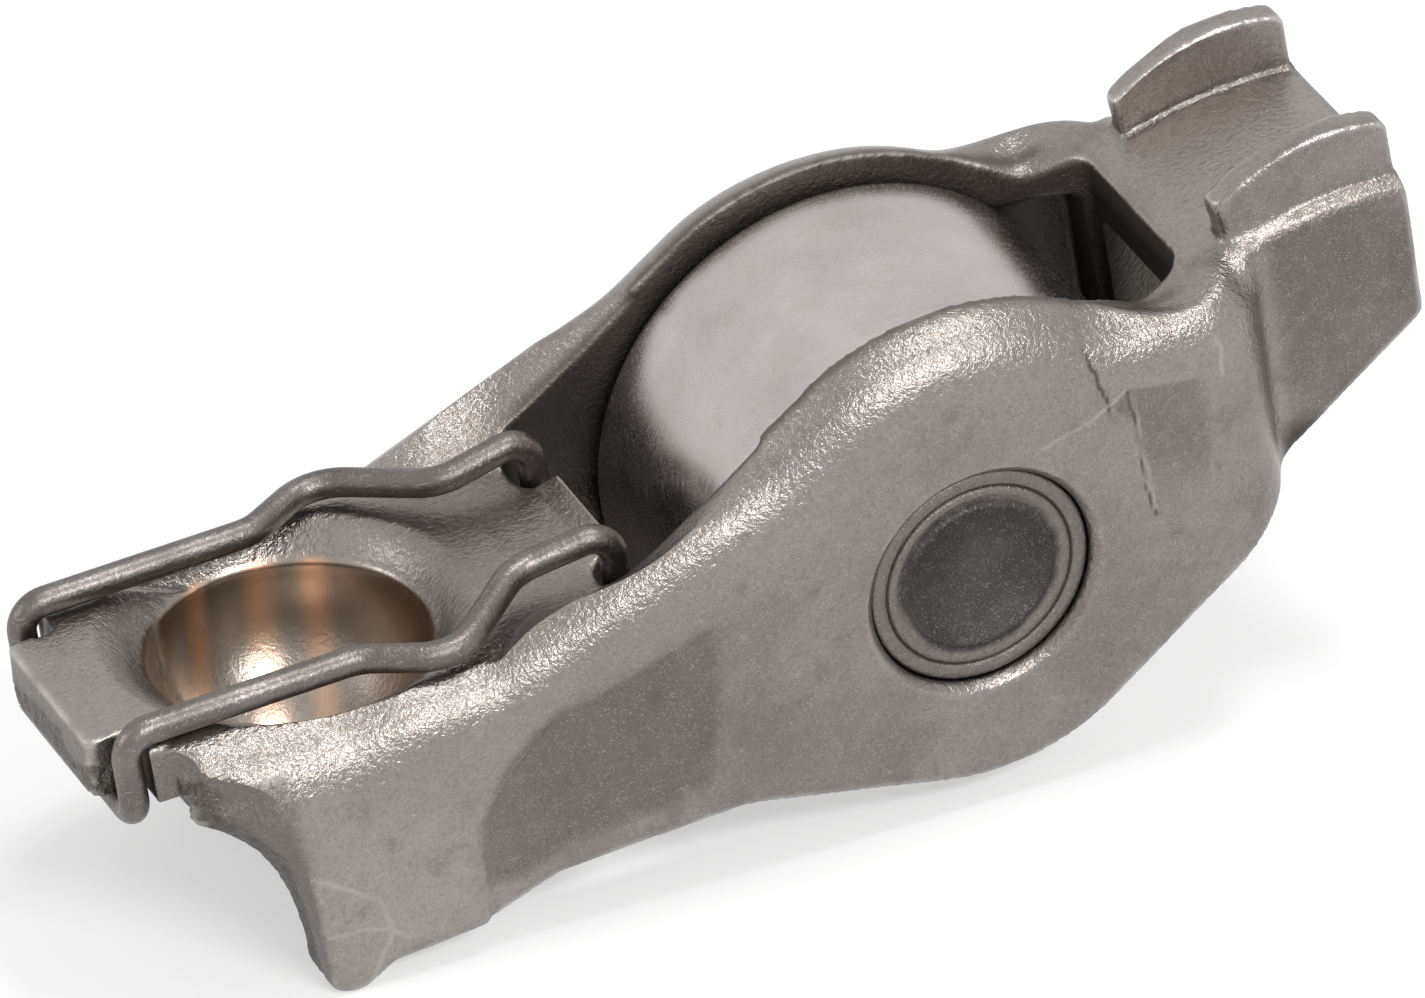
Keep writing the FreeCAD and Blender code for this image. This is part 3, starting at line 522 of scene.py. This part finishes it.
for turn in ((0, 0.35, 0.5), (0, 1.35, -0.6), (0, -0.75, 0.3), (0, 2.2, 0.8)):
    turned = fit(scratches, "ShaderNodeVectorRotate", {"Vector": bent.outputs[0],
                                                       "Rotation": turn},
                 rotation_type="EULER_XYZ")
    stretched = fit(scratches, "ShaderNodeVectorMath", {0: turned.outputs[0],
                                                        1: stretch.outputs[0]},
                    operation="MULTIPLY")
    cells = fit(scratches, "ShaderNodeTexVoronoi", {"Vector": stretched.outputs[0], "Scale": 1.0})
    thin = fit(scratches, "ShaderNodeMapRange",
               {0: cells.outputs["Distance"], 1: 0.36, 2: 0.18}).outputs[0]
    chance = fit(scratches, "ShaderNodeSeparateColor", {0: cells.outputs["Color"]}).outputs[0]
    chosen = sum_up(scratches, "LESS_THAN", chance, given.outputs["Share"])
    line = sum_up(scratches, "MULTIPLY", thin, chosen)
    lines = line if lines is None else sum_up(scratches, "MAXIMUM", lines, line)
scratches.links.new(lines, made.inputs["Mask"])

# Orange peel: the skin that drawn and tumbled steel gets, with lumps of a size and a finer
# pitting over them.
peel, given, made = new_group("orange_peel", [
    ("Vector", "NodeSocketVector", None), ("Lump Size", "NodeSocketFloat", 0.0003),
    ("Pitting", "NodeSocketFloat", 0.4)], ["Height", "Speck"])
per_lump = sum_up(peel, "DIVIDE", 1.0, given.outputs["Lump Size"])
lumps = fit(peel, "ShaderNodeTexNoise", {"Vector": given.outputs["Vector"], "Scale": per_lump,
                                         "Detail": 1.5, "Distortion": 0.6})
pits = fit(peel, "ShaderNodeTexNoise", {
    "Vector": given.outputs["Vector"], "Scale": sum_up(peel, "MULTIPLY", per_lump, 3.4),
    "Detail": 2.0})
pit_depth = sum_up(peel, "MULTIPLY", pits.outputs["Fac"], given.outputs["Pitting"])
peel.links.new(sum_up(peel, "ADD", lumps.outputs["Fac"], pit_depth), made.inputs["Height"])
speck = fit(peel, "ShaderNodeMapRange", {0: pits.outputs["Fac"], 1: 0.62, 2: 0.74})
peel.links.new(speck.outputs[0], made.inputs["Speck"])

# Worn edges: wear broken up by noise, so that it comes and goes along an edge.
edge_wear, given, made = new_group("edge_wear", [
    ("Vector", "NodeSocketVector", None), ("Wear", "NodeSocketFloat", 0.0),
    ("Patch Size", "NodeSocketFloat", 0.0012), ("Amount", "NodeSocketFloat", 1.0)], ["Mask"])
patches = fit(edge_wear, "ShaderNodeTexNoise", {
    "Vector": given.outputs["Vector"],
    "Scale": sum_up(edge_wear, "DIVIDE", 1.0, given.outputs["Patch Size"]), "Detail": 4.0})
kept = fit(edge_wear, "ShaderNodeMapRange",
           {0: patches.outputs["Fac"], 1: 0.3, 2: 0.62, 3: 0.25})
worn = sum_up(edge_wear, "MULTIPLY", given.outputs["Wear"], kept.outputs[0])
edge_wear.links.new(sum_up(edge_wear, "MULTIPLY", worn, given.outputs["Amount"]),
                    made.inputs["Mask"])

# Tarnish: soft clouds of darker and paler oxide with small stains.
tarnish, given, made = new_group("tarnish", [
    ("Vector", "NodeSocketVector", None), ("Cloud Size", "NodeSocketFloat", 0.004)],
    ["Cloud", "Stain"])
per_cloud = sum_up(tarnish, "DIVIDE", 1.0, given.outputs["Cloud Size"])
cloud = fit(tarnish, "ShaderNodeTexNoise", {
    "Vector": given.outputs["Vector"], "Scale": per_cloud, "Detail": 6.0, "Roughness": 0.6})
stain = fit(tarnish, "ShaderNodeTexNoise", {
    "Vector": given.outputs["Vector"], "Scale": sum_up(tarnish, "MULTIPLY", per_cloud, 2.7),
    "Detail": 3.0, "Roughness": 0.7})
cloud_share = fit(tarnish, "ShaderNodeMapRange", {0: cloud.outputs["Fac"], 1: 0.3, 2: 0.7})
stain_share = fit(tarnish, "ShaderNodeMapRange", {0: stain.outputs["Fac"], 1: 0.58, 2: 0.7})
tarnish.links.new(cloud_share.outputs[0], made.inputs["Cloud"])
tarnish.links.new(stain_share.outputs[0], made.inputs["Stain"])


def use(tree, group, inputs):
    """The outputs of a shader group in a tree, with its inputs set or wired."""
    return fit(tree, "ShaderNodeGroup", inputs, node_tree=group).outputs


def new_steel(name):
    """A metal material with its tree, its shader and the place of the surface."""
    steel = bpy.data.materials.new(name)
    steel.use_nodes = True
    shader = steel.node_tree.nodes["Principled BSDF"]
    shader.inputs["Metallic"].default_value = 1.0
    place = steel.node_tree.nodes.new("ShaderNodeTexCoord").outputs["Object"]
    return steel, steel.node_tree, shader, place


def finish_or_shade_of(tree, name):
    """The share of one of the arm's finishes or painted shades, as its mesh holds it."""
    return fit(tree, "ShaderNodeAttribute", attribute_name=name).outputs["Fac"]


pressed_steel, tree, shader, place = new_steel("pressed_steel")
clouds = use(tree, tarnish, {"Vector": place, "Cloud Size": 0.005})
nicks = use(tree, scratches, {"Vector": place, "Length": 0.0009, "Fineness": 22.0,
                              "Share": 0.13})["Mask"]
worn_edges = use(tree, edge_wear, {"Vector": place, "Wear": finish_or_shade_of(tree, "wear"),
                                   "Patch Size": 0.0012, "Amount": 0.85})["Mask"]
skin_bumps = use(tree, peel, {"Vector": place, "Lump Size": 0.00020, "Pitting": 0.4})
fold_share = finish_or_shade_of(tree, "fold")
sheared_share = finish_or_shade_of(tree, "sheared")
coined_share = finish_or_shade_of(tree, "coined")
polished_share = finish_or_shade_of(tree, "polished")
torn_share = finish_or_shade_of(tree, "torn")

colour = lay_over(tree, clouds["Cloud"], (0.195, 0.173, 0.160, 1), (0.280, 0.252, 0.235, 1))
# A paler socket end, and a painted highlight on the upward faces of the valve end's top.
colour = lay_over(tree, finish_or_shade_of(tree, "pale"), colour, (0.42, 0.39, 0.365, 1))
colour = lay_over(tree, sum_up(tree, "MULTIPLY", fold_share, 0.5), colour, (0.30, 0.272, 0.25, 1))
colour = lay_over(tree, sum_up(tree, "MULTIPLY", clouds["Stain"], 0.35), colour,
                  (0.13, 0.108, 0.092, 1))
colour = lay_over(tree, sum_up(tree, "MULTIPLY", coined_share, 0.75), colour,
                  lay_over(tree, clouds["Cloud"], (0.105, 0.09, 0.08, 1), (0.17, 0.15, 0.138, 1)))
dim = fit(tree, "ShaderNodeMapRange", {0: skin_bumps["Height"], 1: 0.48, 2: 0.72, 3: 0.22, 4: 0.0})
colour = lay_over(tree, dim.outputs[0], colour, (0.085, 0.072, 0.065, 1))
colour = lay_over(tree, sum_up(tree, "MULTIPLY", skin_bumps["Speck"], 0.4), colour,
                  (0.48, 0.45, 0.43, 1))
colour = lay_over(tree, sum_up(tree, "MULTIPLY", sheared_share, 0.75), colour,
                  lay_over(tree, skin_bumps["Height"], (0.10, 0.089, 0.081, 1),
                           (0.18, 0.164, 0.152, 1)))
colour = lay_over(tree, sum_up(tree, "MULTIPLY", torn_share, 0.8), colour,
                  lay_over(tree, skin_bumps["Height"], (0.02, 0.017, 0.015, 1),
                           (0.14, 0.125, 0.115, 1)))
# Painted shade in the hollows of the skin.
colour = lay_over(tree, sum_up(tree, "MULTIPLY", finish_or_shade_of(tree, "hollow"), 0.55), colour,
                  (0.06, 0.05, 0.042, 1))
colour = lay_over(tree, sum_up(tree, "MULTIPLY", nicks, 0.6), colour, (0.50, 0.48, 0.46, 1))
colour = lay_over(tree, finish_or_shade_of(tree, "crack"), colour, (0.08, 0.07, 0.062, 1))
colour = lay_over(tree, sum_up(tree, "MULTIPLY", finish_or_shade_of(tree, "burr"), 0.45), colour,
                  (0.44, 0.42, 0.39, 1))
colour = lay_over(tree, worn_edges, colour, (0.56, 0.53, 0.50, 1))
colour = lay_over(tree, sum_up(tree, "MULTIPLY", finish_or_shade_of(tree, "cut"), 0.7), colour,
                  lay_over(tree, sum_up(tree, "MULTIPLY", worn_edges, 0.5),
                           (0.07, 0.06, 0.052, 1), (0.40, 0.36, 0.32, 1)))
# Painted shade on the inside of the channel and under the valve end.
colour = lay_over(tree, sum_up(tree, "MULTIPLY", finish_or_shade_of(tree, "inside"), 0.8), colour,
                  (0.04, 0.035, 0.03, 1))
ball_tan = lay_over(tree, clouds["Cloud"], (0.255, 0.216, 0.18, 1), (0.36, 0.31, 0.26, 1))
seat_spot = fit(tree, "ShaderNodeSeparateXYZ", {0: place}).outputs
far_half = fit(tree, "ShaderNodeMapRange", {0: seat_spot[1], 1: 0.0, 2: 0.001}).outputs[0]
slanted = sum_up(tree, "MULTIPLY_ADD", sum_up(tree, "SUBTRACT", 0.004, seat_spot[1]), 0.3,
                 seat_spot[0])
for streak_place, streak_width in ((-0.0212, 0.00045), (-0.0193, 0.0004), (-0.0235, 0.0003)):
    streak_gap = sum_up(tree, "ABSOLUTE", sum_up(tree, "SUBTRACT", slanted, streak_place))
    streak = fit(tree, "ShaderNodeMapRange", {0: streak_gap, 1: 2.0 * streak_width, 2: 0.0,
                                              3: 0.0, 4: 0.7}, interpolation_type="SMOOTHSTEP")
    ball_tan = lay_over(tree, sum_up(tree, "MULTIPLY", streak.outputs[0], far_half), ball_tan,
                        (0.90, 0.52, 0.30, 1))
colour = lay_over(tree, polished_share, colour, ball_tan)
tree.links.new(colour, shader.inputs["Base Color"])

rough = between(tree, fold_share, 0.31, 0.27)
rough = between(tree, polished_share, rough, 0.28)
rough = between(tree, sheared_share, rough, 0.5)
rough = between(tree, coined_share, rough, 0.40)
tree.links.new(rough, shader.inputs["Roughness"])

skin_height = sum_up(tree, "MULTIPLY", skin_bumps["Height"], between(tree, fold_share, 0.7, 1.0))
skin_height = sum_up(tree, "MULTIPLY", skin_height, between(tree, polished_share, 1.0, 0.0))
all_height = sum_up(tree, "MULTIPLY", skin_height, between(tree, torn_share, 1.0, 3.0))
bump = fit(tree, "ShaderNodeBump", {"Strength": 1.0, "Distance": 0.000045, "Height": all_height})
tree.links.new(bump.outputs["Normal"], shader.inputs["Normal"])

thinned_mesh.materials.clear()
thinned_mesh.materials.append(pressed_steel)
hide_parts("arm")
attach(arm_sheet, "arm")

# Roller: a hardened ring, ground all over, that turns on the needles and runs on the cam.
# Its rim is polished by the cam in fine strokes that cross each other.


def turn_on_lathe(name, profile, facets=192):
    """A ring, or a bar where the profile starts and ends on the axis, turned about the
    pin's axis from a line of (radius, place across) in mm."""
    turned = bmesh.new()
    rows = []
    for radius, across in profile:
        if radius == 0:
            rows.append([turned.verts.new((0, across, 0))] * facets)
            continue
        rows.append([turned.verts.new((radius * math.cos(turn), across, radius * math.sin(turn)))
                     for turn in np.linspace(0, 2 * math.pi, facets, endpoint=False)])
    pairs = list(zip(rows, rows[1:]))
    if profile[0][0] > 0:
        pairs.append((rows[-1], rows[0]))
    for low, high in pairs:
        for i in range(facets):
            corners = [low[i - 1], low[i], high[i], high[i - 1]]
            turned.faces.new(list(dict.fromkeys(corners)))
    bmesh.ops.recalc_face_normals(turned, faces=turned.faces)
    turned.transform(Matrix.Scale(0.001, 4))
    mesh = bpy.data.meshes.new(name)
    turned.to_mesh(mesh)
    turned.free()
    mesh.shade_smooth()
    piece = bpy.data.objects.new(name, mesh)
    scene.collection.objects.link(piece)
    return piece


def round_corner(centre, radius, start, end, steps=6):
    """Points of an arc in the profile, from one angle to another in degrees."""
    return [(centre[0] + radius * math.cos(math.radians(turn)),
             centre[1] + radius * math.sin(math.radians(turn)))
            for turn in np.linspace(start, end, steps)]


def distance_from_axis(tree, place):
    """Distance of the surface from the pin's axis, in millimetres."""
    parts = fit(tree, "ShaderNodeSeparateXYZ", {0: place})
    flat = fit(tree, "ShaderNodeCombineXYZ", {0: parts.outputs[0], 2: parts.outputs[2]})
    length = fit(tree, "ShaderNodeVectorMath", {0: flat.outputs[0]}, operation="LENGTH")
    return sum_up(tree, "MULTIPLY", length.outputs["Value"], 1000.0)


roller_profile = (
    round_corner((5.69, -4.55), 0.15, 180, 270) + [(6.3, -4.7), (7.6, -4.7)]
    + round_corner((8.25, -4.2), 0.5, -90, 0, 9)
    + [(8.75, -3.0), (8.75, 0.0), (8.75, 3.0)]
    + round_corner((8.25, 4.2), 0.5, 0, 90, 9)
    + [(7.6, 4.7), (6.3, 4.7)] + round_corner((5.69, 4.55), 0.15, 90, 180))
roller_ring = turn_on_lathe("roller_ring", roller_profile, 256)

ground_steel, tree, shader, place = new_steel("ground_steel")
clouds = use(tree, tarnish, {"Vector": place, "Cloud Size": 0.0045})
strokes = use(tree, scratches, {"Vector": place, "Length": 0.0016, "Fineness": 18.0,
                                "Share": 0.35})["Mask"]
colour = lay_over(tree, clouds["Cloud"], (0.41, 0.375, 0.365, 1), (0.55, 0.508, 0.50, 1))
colour = lay_over(tree, sum_up(tree, "MULTIPLY", clouds["Stain"], 0.25), colour,
                  (0.44, 0.37, 0.32, 1))
colour = lay_over(tree, sum_up(tree, "MULTIPLY", strokes, 0.3), colour, (0.62, 0.60, 0.60, 1))
tree.links.new(colour, shader.inputs["Base Color"])
rough = between(tree, clouds["Cloud"], 0.20, 0.30)
tree.links.new(sum_up(tree, "MULTIPLY_ADD", strokes, 0.12, rough), shader.inputs["Roughness"])
brushed = fit(tree, "ShaderNodeTexNoise", {
    "Vector": fit(tree, "ShaderNodeVectorMath", {0: place, 1: (1.0, 9.0, 1.0)},
                  operation="MULTIPLY").outputs[0], "Scale": 1500.0, "Detail": 2.0})
bump = fit(tree, "ShaderNodeBump", {"Strength": 1.0, "Distance": 0.000004,
                                    "Height": brushed.outputs["Fac"]})
tree.links.new(bump.outputs["Normal"], shader.inputs["Normal"])

roller_ring.data.materials.append(ground_steel)
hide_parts("roller")
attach(roller_ring, "roller")

# Pin: a hardened axle, staked in both walls a little below their faces. The punch leaves a
# dark disc inside a rounded rim, a fine line, and a turned-over edge beside the hole.

pin_end = [(0, 6.70), (2.55, 6.70)] + round_corner((2.86, 6.98), 0.28, 200, 262, 3) + [
    (2.98, 6.735), (3.08, 6.78), (3.18, 6.79), (3.28, 6.77), (3.34, 6.72), (3.37, 6.68),
    (3.40, 6.72), (3.50, 6.77), (3.70, 6.79), (3.84, 6.78), (3.92, 6.74), (3.965, 6.66),
    (3.99, 6.50)]
other_end = [(radius, -across) for radius, across in reversed(pin_end)]
pin_bar = turn_on_lathe("pin_bar", pin_end + [(3.99, 0.0)] + other_end)

staked_steel, tree, shader, place = new_steel("staked_steel")
radius = distance_from_axis(tree, place)
clouds = use(tree, tarnish, {"Vector": place, "Cloud Size": 0.002})
fine = use(tree, peel, {"Vector": place, "Lump Size": 0.00016, "Pitting": 0.8})
nicks = use(tree, scratches, {"Vector": place, "Length": 0.0006, "Fineness": 10.0,
                              "Share": 0.2})["Mask"]
unsteady = sum_up(tree, "MULTIPLY_ADD", clouds["Cloud"], 0.22,
                  sum_up(tree, "SUBTRACT", radius, 0.11))
rim_share = fit(tree, "ShaderNodeMapRange", {0: unsteady, 1: 2.82, 2: 3.02}).outputs[0]
colour = lay_over(tree, clouds["Cloud"], (0.052, 0.048, 0.047, 1), (0.085, 0.078, 0.074, 1))
colour = lay_over(tree, sum_up(tree, "MULTIPLY", fine["Speck"], 0.5), colour,
                  (0.24, 0.22, 0.21, 1))
rim_colour = lay_over(tree, fine["Height"], (0.06, 0.053, 0.048, 1), (0.19, 0.172, 0.158, 1))
colour = lay_over(tree, rim_share, colour, rim_colour)
colour = lay_over(tree, sum_up(tree, "MULTIPLY", nicks, 0.35), colour, (0.38, 0.36, 0.34, 1))
line_gap = sum_up(tree, "ABSOLUTE", sum_up(tree, "SUBTRACT", radius, 3.37))
line_share = fit(tree, "ShaderNodeMapRange", {0: line_gap, 1: 0.07, 2: 0.02, 4: 0.85})
colour = lay_over(tree, line_share.outputs[0], colour, (0.03, 0.026, 0.023, 1))
shade = fit(tree, "ShaderNodeMapRange", {0: radius, 1: 3.92, 2: 3.96, 4: 0.85})
colour = lay_over(tree, shade.outputs[0], colour, (0.02, 0.017, 0.015, 1))
tree.links.new(colour, shader.inputs["Base Color"])
tree.links.new(between(tree, rim_share, 0.5, 0.34), shader.inputs["Roughness"])
bump = fit(tree, "ShaderNodeBump", {"Strength": 1.0, "Distance": 0.00003,
                                    "Height": fine["Height"]})
tree.links.new(bump.outputs["Normal"], shader.inputs["Normal"])

pin_bar.data.materials.append(staked_steel)
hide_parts("pin")
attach(pin_bar, "arm")

# Clip: one length of spring wire, bent cold. Its drawn skin is smooth and grey, dulled in
# patches, with a few nicks where it was bent.

wire_steel, tree, shader, place = new_steel("wire_steel")
clouds = use(tree, tarnish, {"Vector": place, "Cloud Size": 0.0022})
skin_bumps = use(tree, peel, {"Vector": place, "Lump Size": 0.0003, "Pitting": 0.5})
nicks = use(tree, scratches, {"Vector": place, "Length": 0.0009, "Fineness": 12.0,
                              "Share": 0.12})["Mask"]
colour = lay_over(tree, clouds["Cloud"], (0.130, 0.115, 0.107, 1), (0.195, 0.175, 0.167, 1))
colour = lay_over(tree, sum_up(tree, "MULTIPLY", clouds["Stain"], 0.4), colour,
                  (0.12, 0.102, 0.095, 1))
colour = lay_over(tree, sum_up(tree, "MULTIPLY", skin_bumps["Speck"], 0.3), colour,
                  (0.42, 0.39, 0.37, 1))
colour = lay_over(tree, sum_up(tree, "MULTIPLY", nicks, 0.5), colour, (0.42, 0.40, 0.38, 1))
tree.links.new(colour, shader.inputs["Base Color"])
tree.links.new(between(tree, clouds["Cloud"], 0.46, 0.34), shader.inputs["Roughness"])
bump = fit(tree, "ShaderNodeBump", {"Strength": 1.0, "Distance": 0.000025,
                                    "Height": skin_bumps["Height"]})
tree.links.new(bump.outputs["Normal"], shader.inputs["Normal"])
for slot in nodes["clip"].material_slots:
    slot.material = wire_steel

# Needles: nineteen ground bars with domed ends, in a full row round the pin with no cage.
# They lie loose between the pin and the ring, and the two walls hold them in endways.

needle_tree = bpy.data.node_groups.new("needle_row", "GeometryNodeTree")
NEEDLE_SIZES = {"Needles": 19, "Row Radius": 0.00477, "Needle Radius": 0.00075,
                "Needle Length": 0.0088, "Dome Length": 0.0005}
for socket, value in NEEDLE_SIZES.items():
    kind = "NodeSocketInt" if isinstance(value, int) else "NodeSocketFloat"
    needle_tree.interface.new_socket(socket, in_out="INPUT", socket_type=kind)
needle_tree.interface.new_socket("Geometry", in_out="OUTPUT", socket_type="NodeSocketGeometry")
sizes = needle_tree.nodes.new("NodeGroupInput").outputs
half_length = sum_up(needle_tree, "MULTIPLY", sizes["Needle Length"], 0.5)
needle_start = fit(needle_tree, "ShaderNodeCombineXYZ",
                   {1: sum_up(needle_tree, "MULTIPLY", half_length, -1.0)})
needle_end = fit(needle_tree, "ShaderNodeCombineXYZ", {1: half_length})
axis_line = fit(needle_tree, "GeometryNodeCurvePrimitiveLine",
                {"Start": needle_start.outputs[0], "End": needle_end.outputs[0]})
steps = fit(needle_tree, "GeometryNodeResampleCurve", {"Curve": axis_line.outputs[0], "Count": 61})
step_place = fit(needle_tree, "ShaderNodeSeparateXYZ",
                 {0: needle_tree.nodes.new("GeometryNodeInputPosition").outputs[0]})
to_end = sum_up(needle_tree, "SUBTRACT", half_length,
                sum_up(needle_tree, "ABSOLUTE", step_place.outputs[1]))
dome_share = fit(needle_tree, "ShaderNodeMath", {0: to_end, 1: sizes["Dome Length"]},
                 operation="DIVIDE", use_clamp=True)
from_shoulder = sum_up(needle_tree, "SUBTRACT", 1.0, dome_share.outputs[0])
thickness = sum_up(needle_tree, "SQRT", sum_up(
    needle_tree, "SUBTRACT", 1.0, sum_up(needle_tree, "MULTIPLY", from_shoulder, from_shoulder)))
bar_radius = sum_up(needle_tree, "MULTIPLY", sizes["Needle Radius"],
                    sum_up(needle_tree, "MAXIMUM", thickness, 0.25))
ring_section = fit(needle_tree, "GeometryNodeCurvePrimitiveCircle",
                   {"Resolution": 20, "Radius": 1.0}, mode="RADIUS")
shaped = fit(needle_tree, "GeometryNodeSetCurveRadius",
             {"Curve": steps.outputs[0], "Radius": bar_radius})
needle = fit(needle_tree, "GeometryNodeCurveToMesh",
             {"Curve": shaped.outputs[0], "Profile Curve": ring_section.outputs["Curve"],
              "Scale": bar_radius, "Fill Caps": True})
row = fit(needle_tree, "GeometryNodeMeshCircle",
          {"Vertices": sizes["Needles"], "Radius": sizes["Row Radius"]})
upright_row = fit(needle_tree, "GeometryNodeTransform",
                  {"Geometry": row.outputs[0], "Rotation": (math.pi / 2, 0, 0)})
placed = fit(needle_tree, "GeometryNodeInstanceOnPoints",
             {"Points": upright_row.outputs[0], "Instance": needle.outputs[0]})
real = fit(needle_tree, "GeometryNodeRealizeInstances", {0: placed.outputs[0]})
coloured = fit(needle_tree, "GeometryNodeSetMaterial",
               {"Geometry": real.outputs[0], "Material": ground_steel})
needle_tree.links.new(coloured.outputs[0],
                      needle_tree.nodes.new("NodeGroupOutput").inputs[0])

needle_row = bpy.data.objects.new("needle_row_bars", bpy.data.meshes.new("needle_row_bars"))
scene.collection.objects.link(needle_row)
row_maker = needle_row.modifiers.new("row", "NODES")
row_maker.node_group = needle_tree
for item in needle_tree.interface.items_tree:
    if item.in_out == "INPUT":
        row_maker[item.identifier] = NEEDLE_SIZES[item.name]
row_mesh = finished_mesh(needle_row)
needle_row.modifiers.remove(row_maker)
needle_row.data = row_mesh
row_mesh.shade_smooth()
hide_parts(*(name for name in nodes if name.startswith("needle_")))
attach(needle_row, "needle_row")
